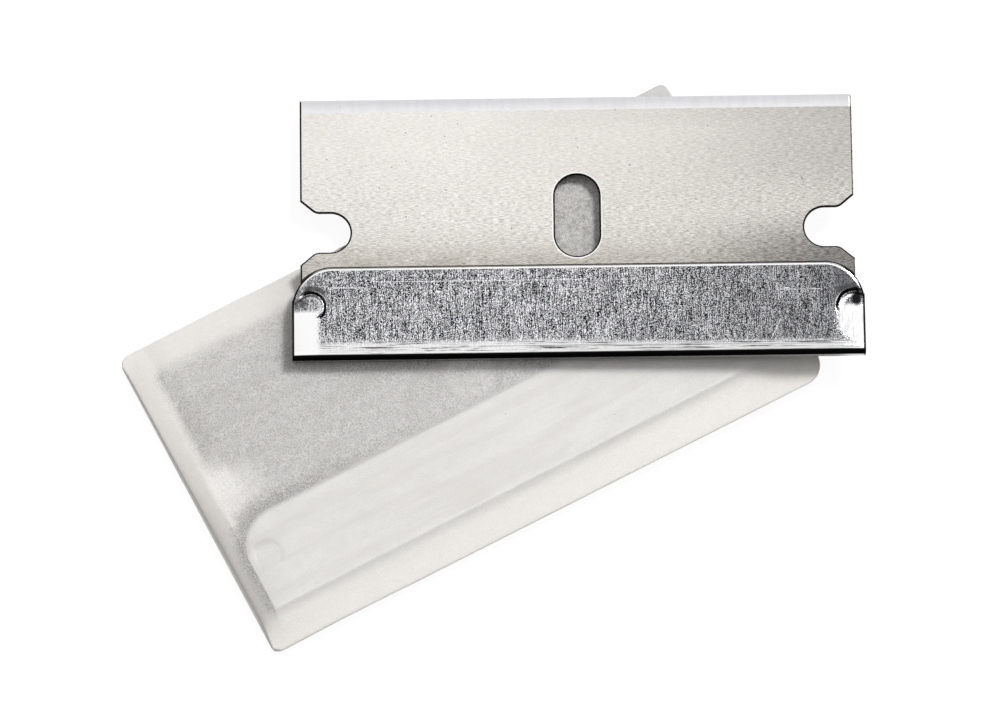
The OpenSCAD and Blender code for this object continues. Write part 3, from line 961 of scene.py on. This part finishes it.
def back_material():
    """Rolled sheet, brushed across its height, with drawn lines by the fold and pressed, polished ends; painted
    highlights on the ends and the rim, and painted shade and dark reflections on the fold, the upper corners and
    round the stakes.
    """
    g = Graph("back_face")
    tall = g.noise((24, 1, 1), detail=2, roughness=0.6)
    short = g.noise((26, 18, 1), detail=0, shift=13)
    broad = g.noise((0.35, 0.3, 1), roughness=0.6, shift=17)
    weave = g.plus(g.times(tall, 0.42), g.times(short, 0.58), g.ramp(broad, 0.3, 0.7, -0.012, 0.012))
    away = g.math("ABSOLUTE", g.x)
    right = g.ramp(g.x, -1, 1)
    g.colour = g.mix(g.ramp(weave, 0.495, 0.572), (0.005, 0.005, 0.007), (0.96, 0.96, 0.985))
    # Darker towards the right, and painted shade in the two upper corners, where the pressed sheet tilts away from
    # the light: mottled on the left, plain and darker on the right
    g.paint((0.04, 0.04, 0.045), g.ramp(g.x, -2, 20), 0.45)
    upper = g.times(g.ramp(away, 16.2, 18.6), g.ramp(g.y, 3.2, 4.2))
    mottled_corner_shade = g.mix(g.ramp(weave, 0.5, 0.54), (0.16, 0.16, 0.165), (0.72, 0.72, 0.73))
    g.paint(g.mix(right, mottled_corner_shade, (0.06, 0.06, 0.065)), upper, 0.7)
    # Lines drawn along the fold
    drawn = g.noise((0.3, 10, 1), roughness=0.7, shift=31)
    fades_from = g.ramp(g.x, -4, 8, 1.4, 1.15)
    fades_to = g.ramp(g.x, -4, 8, 0.8, 0.62)
    near_fold = g.times(g.ramp(g.y, fades_from, fades_to), 0.88)
    polish = g.ramp(g.x, -6, 4, 0.9, 0.8)
    g.paint(g.mix(g.ramp(drawn, 0.38, 0.48), 0.04, g.grey(polish)), near_fold)
    drawn_line = g.times(g.scratch(-7, 0.72, 19.2, 0.6, 0.07), g.ramp(drawn, 0.3, 0.5, 0.9, 0.35))
    g.paint(0.03, drawn_line)
    groove_shade, stake_shade, stake_highlight = stake_marks(g)
    # Painted shade round the stakes and painted highlights on the pressed metal
    g.paint(0.05, stake_shade, 0.8)
    g.paint(0.82, g.times(stake_highlight, g.ramp(weave, 0.42, 0.56, 0.35, 0.95)))
    # Polished ends below the stakes, the rolled rim and the edge of the fold: smooth metal, painted bright as the
    # highlights it catches
    by_fold = g.times(right, g.ramp(g.y, 1.7, 0.4))
    ragged = g.scaled(by_fold, -1.6, g.scaled(short, 0.9, away))
    ends = g.times(g.ramp(ragged, 17.95, 18.35), g.ramp(g.y, 3.55, 3.2))
    rolled = g.ramp(g.y, 0.42, 0.34)
    g.paint(g.mix(g.ramp(drawn, 0.36, 0.5), 0.45, g.grey(polish)), rolled)
    outwards = rim_line(g)
    rim = g.times(g.ramp(outwards, -0.27, -0.22), g.ramp(g.y, 4.7, 5.3))
    corner_rim_shade = g.times(g.ramp(outwards, -0.17, -0.12), g.ramp(away, 17.4, 18.4))
    smooth = g.strongest(ends, rim)
    lined = g.times(right, g.ramp(tall, 0.5, 0.6, 0, 0.5))
    g.paint(g.mix(g.times(lined, ends), 0.98, 0.4), smooth)
    # Painted shade: black in the stakes' grooves and along the rim's outline at the upper corners
    g.paint(0.006, g.strongest(groove_shade, corner_rim_shade))
    lines = [g.times(g.scratch(*place), share) for *place, share in SCRATCHES]
    g.paint((0.95, 0.95, 0.96), g.strongest(*lines))
    # The outer fold is painted black and made dull, standing in for the dark surroundings that it reflects, with a
    # lighter reflection painted along its lower side
    fold_dark_reflection = g.ramp(g.y, 0.28, 0.2)
    g.paint(0.003, fold_dark_reflection)
    low = g.times(g.ramp(g.z, 0.03, -0.06), g.ramp(g.z, -0.5, -0.4))
    g.paint(g.mix(g.ramp(g.x, 2, 12), 0.4, 0.7), low)
    fold_dark_reflection = g.times(fold_dark_reflection, g.minus(1, low))
    # The sheared ends of the sheet are painted black and dull too, as shade along them
    sheared = g.ramp(g.scaled(right, 0.03, away), BACK_L / 2 - 0.065, BACK_L / 2 - 0.04)
    g.paint(0.01, sheared)
    metal = g.minus(1, g.strongest(fold_dark_reflection, sheared, corner_rim_shade))
    smooth = g.strongest(smooth, rolled)
    roughness = g.scaled(smooth, -0.08, 0.22)
    normal = g.bump(g.times(weave, g.minus(1, smooth)), 0.006)
    return g.finish(g.principled(metallic=metal, roughness=roughness, specular_ior_level=0.0, normal=normal))


def wrapped_face_material():
    """Steel of the wrapped blade, rough, and painted dark as the shade that the paper casts on it: darkest beside
    its back, where the paper stands highest, and lighter towards the sharp edge.
    """
    g = Graph("wrapped_blade_face_shaded")
    grain = g.noise((0.9, 7, 1), roughness=0.7, shift=2)
    cloud = g.noise((0.3, 0.4, 1), roughness=0.6, shift=8)
    away = g.ramp(g.scaled(cloud, 3.0, g.y), 17.5, 20.5)
    beside_back_shade = g.ramp(g.y, BACK_H + 1.2, BACK_H + 0.5)
    # Painted shade under the paper: dark beside the back, lighter towards the sharp edge
    g.colour = g.mix(away, (0.1, 0.098, 0.095), (0.4, 0.39, 0.375))
    g.paint((0.03, 0.029, 0.028), beside_back_shade)
    g.paint((0.4, 0.39, 0.37), g.ramp(grain, 0.35, 0.65, 0, 0.15))
    return g.metal(0.45)


def wrapped_back_material():
    """Back of the wrapped blade: clean sheet with faint lengthwise streaks."""
    g = Graph("clean_back_face")
    streaks = g.noise((0.3, 2.2, 1), roughness=0.6, shift=6)
    g.colour = g.mix(g.ramp(streaks, 0.35, 0.65), (0.62, 0.615, 0.605), (0.72, 0.715, 0.705))
    g.paint(0.85, g.ramp(g.y, 0.3, 0.18))
    return g.metal(0.5)


# Light spreads inside waxed paper, so gentle slopes are shaded as if level, and only steep folds as they are
LEVEL_ABOVE = 0.8
STEEP_BELOW = 0.35
# Place of the packet under the middle of the bare blade's slot
SLOT_SHADE_AT = (packet_axes.inverted() @ loose_axes @ (Vector((0, SLOT_Y, 0)) * MM)) / MM


def soft_normal(g):
    """World normal turned most of the way to the vertical on gentle slopes, on the side that the surface faces."""
    normal = g.add("NewGeometry").outputs["Normal"]
    rise = g.add("SeparateXYZ", normal).outputs[2]
    upright = g.add("CombineXYZ", 0, 0, g.math("SIGN", rise)).outputs[0]
    own = g.add("Mix", data_type="VECTOR")
    g.put(own.inputs[0], g.ramp(g.math("ABSOLUTE", rise), LEVEL_ABOVE, STEEP_BELOW, 0.05, 0.9))
    g.put(own.inputs[4], upright)
    g.put(own.inputs[5], normal)
    return g.add("VectorMath", own.outputs[1], operation="NORMALIZE").outputs[0]


def pressed_mask(g):
    """1 where the packet lies on the wrapped back or strip, 0 where it stands off them."""
    along = g.math("ABSOLUTE", g.minus(g.x, WRAPPED_X))
    on_back = g.math("LESS_THAN", g.y, RIDGE_LINE)
    reach = g.scaled(on_back, (BACK_L - STRIP_L) / 2, STRIP_L / 2)
    inside_length = g.ramp(g.minus(along, reach), 0.9, -0.2)
    above = g.ramp(g.y, BACK_LINE - 0.9, BACK_LINE + 0.1)
    below = g.ramp(g.y, EDGE_LINE + 0.6, EDGE_LINE - 0.6)
    return g.times(above, below, inside_length)


def gap_shade_mask(g):
    """1 in the narrow gap that the paper bridges round the wrapped back, towards the closed end."""
    away = rim_line(g, WRAPPED_X, BACK_LINE)
    gap_shade = g.times(g.ramp(away, -0.05, 0.12), g.ramp(away, 1.1, 0.25))
    return g.times(gap_shade, g.ramp(g.x, -7, -17), g.ramp(g.y, BACK_LINE - 0.2, BACK_LINE + 0.4))


def end_fringe(g):
    """1 along the wrapped strip's end at the closed end of the packet, where the paper clings to its dark edge."""
    inwards = g.minus(g.x, WRAPPED_X - STRIP_L / 2)
    return g.times(g.ramp(inwards, -0.2, 0.15), g.ramp(inwards, 1.8, 0.3), g.ramp(g.y, 1.5, 4))


def paper_material(name, alpha, glow):
    """Waxed paper: a share seen straight through, the rest lit from in front and from behind, unevenly waxed, with
    painted shade in the gap round the wrapped back, under the bare blade's slot and at the open corner.
    """
    g = Graph(name)
    fine = g.noise(13, detail=2, roughness=0.6)
    soft = g.noise(1.8, detail=5, roughness=0.65, shift=9)
    cloud = g.noise(0.35, shift=5)
    g.colour = g.mix(g.ramp(soft, 0.35, 0.65), (0.975, 0.962, 0.936), (0.995, 0.983, 0.959))
    g.paint((0.91, 0.89, 0.855), g.ramp(cloud, 0.4, 0.7, 0, 0.15))
    streaks = g.noise((0.09, 1.0, 1.0), detail=4, roughness=0.65, shift=21)
    worn = g.times(g.ramp(streaks, 0.48, 0.62), g.ramp(soft, 0.36, 0.6, 0.3, 1))
    g.paint((0.84, 0.81, 0.765), worn, 0.4)
    g.paint((0.25, 0.22, 0.18), g.specks(0.3, 0.06, 0.1), 0.7)
    stands_off = g.minus(1, pressed_mask(g))
    g.paint((0.81, 0.787, 0.745), stands_off, 0.8)
    # Painted shade on the open end's corner, which lies under the bare blade
    g.paint((0.56, 0.56, 0.57), g.blob(HALF_PACKET - 0.6, BACK_SIDE_OPEN - 0.6, 1.7, 1.7), 0.7)
    # Painted shade in the gap round the wrapped back, and mottled painted shade on the paper that the bare blade's
    # slot shows
    gap_shade = g.times(gap_shade_mask(g), g.ramp(fine, 0.62, 0.4, 0.25, 1))
    g.paint((0.42, 0.41, 0.395), gap_shade, 0.6)
    slot_mottle = g.noise(2.6, detail=5, roughness=0.75, shift=3)
    slot_shade = g.times(g.blob(SLOT_SHADE_AT[0], SLOT_SHADE_AT[1], 3.5, 3.5), g.ramp(slot_mottle, 0.56, 0.36))
    g.paint((0.38, 0.355, 0.32), slot_shade, 0.55)
    front = g.principled(roughness=0.5, specular_ior_level=0.2, normal=soft_normal(g))
    behind = g.shader("BsdfTranslucent", g.colour)
    lit = g.shader("MixShader", g.scaled(stands_off, -0.7 * glow, glow), front, behind)
    wax = g.plus(g.times(fine, 0.75), g.times(soft, 0.25))
    # The grain shows over the dark strip, and hardly at all over the bright back
    past_back = rim_line(g, WRAPPED_X, BACK_LINE)
    over_strip = g.times(pressed_mask(g), g.ramp(past_back, -0.1, 0.1))
    grain = g.times(g.ramp(wax, 0.38, 0.62, -0.26, 0.26), g.scaled(over_strip, 0.75, 0.25))
    waxed = g.times(g.plus(grain, 1), alpha)
    off = g.times(stands_off, (1 - alpha) * 0.75)
    off = g.plus(off, g.times(g.blob(-19, 0.1, 0.9, 1.6, 0.6), (1 - alpha) * 0.7))
    off = g.minus(off, g.times(end_fringe(g), alpha * 0.12))
    return g.finish(g.shader("MixShader", g.math("ADD", waxed, off, clamp=True), g.shader("BsdfTransparent"), lit))


# Pieces

steel = [blade_face_material(), bevel_material(), polish_highlight_material(), cut_shade_material()]
back = [back_material()]
wrapped_face_shaded = wrapped_face_material()
wrapped_steel_shaded = [wrapped_face_shaded, wrapped_face_shaded, steel[2], steel[3]]
clean_back = [wrapped_back_material()]
paper = [
    paper_material("waxed_paper", 0.68, 0.3),
    paper_material("waxed_paper_inside", 0.12, 0.5),
    paper_material("waxed_paper_under", 0.95, 0.25),
]


def dress(piece, body, node):
    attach(piece, body)
    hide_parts(node)


dress(strip_piece("loose_strip", loose_axes, steel, 30), "loose", "loose_blade")
dress(back_piece("loose_folded_back", loose_axes, back, 70, 80, 110), "loose", "loose_blade_back")
dress(strip_piece("wrapped_strip", wrapped_axes, wrapped_steel_shaded, 20), "wrapped", "wrapped_blade")
dress(back_piece("wrapped_folded_back", wrapped_axes, clean_back, 50, 50, 80), "wrapped", "wrapped_blade_back")
dress(sleeve_piece("waxed_sleeve", packet_axes, paper, 120, 120), "packet", "paper_sleeve")

flap = flap_piece("waxed_end_flap", packet_axes, paper[:1], 60)
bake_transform(flap)
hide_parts("paper_end_flap")


# Floor, light and background

FLOOR_SIZE = 4.0
FLOOR_BELOW = 0.02
FLOOR_WHITE = 0.8
# To the camera the floor is mostly plain white, so that the object's shadow on it stays faint
FLOOR_SEEN = 0.14
FLOOR_PLAIN = 0.92


def make_floor():
    """White floor that keeps the object's shadow."""
    half = FLOOR_SIZE / 2
    mesh = bpy.data.meshes.new("floor")
    mesh.from_pydata([(-half, -half, 0), (half, -half, 0), (half, half, 0), (-half, half, 0)], [], [(0, 1, 2, 3)])
    floor = add_object("floor", mesh)
    floor.location.z = -FLOOR_BELOW * MM
    g = Graph("floor")
    seen = g.add("LightPath").outputs["Is Camera Ray"]
    diffuse = g.shader("BsdfDiffuse", g.mix(seen, FLOOR_WHITE, FLOOR_SEEN))
    plain = g.shader("Emission", rgba(1), g.times(seen, FLOOR_PLAIN))
    mesh.materials.append(g.finish(g.shader("AddShader", diffuse, plain)))


# Patches of sky: direction, cosines from it at the patch's border and where it is full, and brightness
SKY_TOP = Vector((0.1, 0.75, 1)).normalized()
SKY_TOP_CONE = 0.743, 0.927
SKY_BRIGHT = 1.23
SKY_DIM = 0.08
SKY_LEFT = Vector((-1, -0.35, 0.28)).normalized()
SKY_LEFT_CONE = 0.5, 0.9
SKY_LEFT_BRIGHT = 1.05


def sky_patch(g, direction, cone, low, high):
    """Brightness that rises from low to high within a cone round a direction of the sky."""
    towards = g.vector("DOT_PRODUCT", g.add("TexCoord").outputs["Generated"], direction, "Value")
    return g.ramp(towards, *cone, low, high)


def make_world():
    """Soft dome: a bright patch over the sharp edges' side, a weaker one on the left, dim elsewhere."""
    world = bpy.data.worlds.new("studio")
    scene.world = world
    world.use_nodes = True
    g = Nodes(world.node_tree)
    over = sky_patch(g, SKY_TOP, SKY_TOP_CONE, SKY_DIM, SKY_BRIGHT)
    left = sky_patch(g, SKY_LEFT, SKY_LEFT_CONE, 0, SKY_LEFT_BRIGHT)
    background = g.add("Background")
    g.put(background.inputs["Strength"], g.plus(over, left))
    g.add("OutputWorld", background.outputs[0])


# Lamps: direction, distance, size and power. The key throws crisp shadows towards -Y, the other wide soft ones
LAMPS = (
    ("key", (0.62, 0.68, 1), 0.8, 0.22, 4.8),
    ("side", (1, 0.15, 0.55), 0.8, 0.6, 2.7),
)


def make_lamp(name, direction, away, size, power):
    """Round soft lamp that shines at the origin."""
    towards = Vector(direction).normalized()
    data = bpy.data.lights.new(name, "AREA")
    data.shape = "DISK"
    data.size = size
    data.energy = power
    lamp = add_object(name, data)
    lamp.location = towards * away
    lamp.rotation_mode = "QUATERNION"
    lamp.rotation_quaternion = towards.to_track_quat("Z", "Y")


make_floor()
make_world()
for settings in LAMPS:
    make_lamp(*settings)
scene.view_settings.view_transform = "Standard"
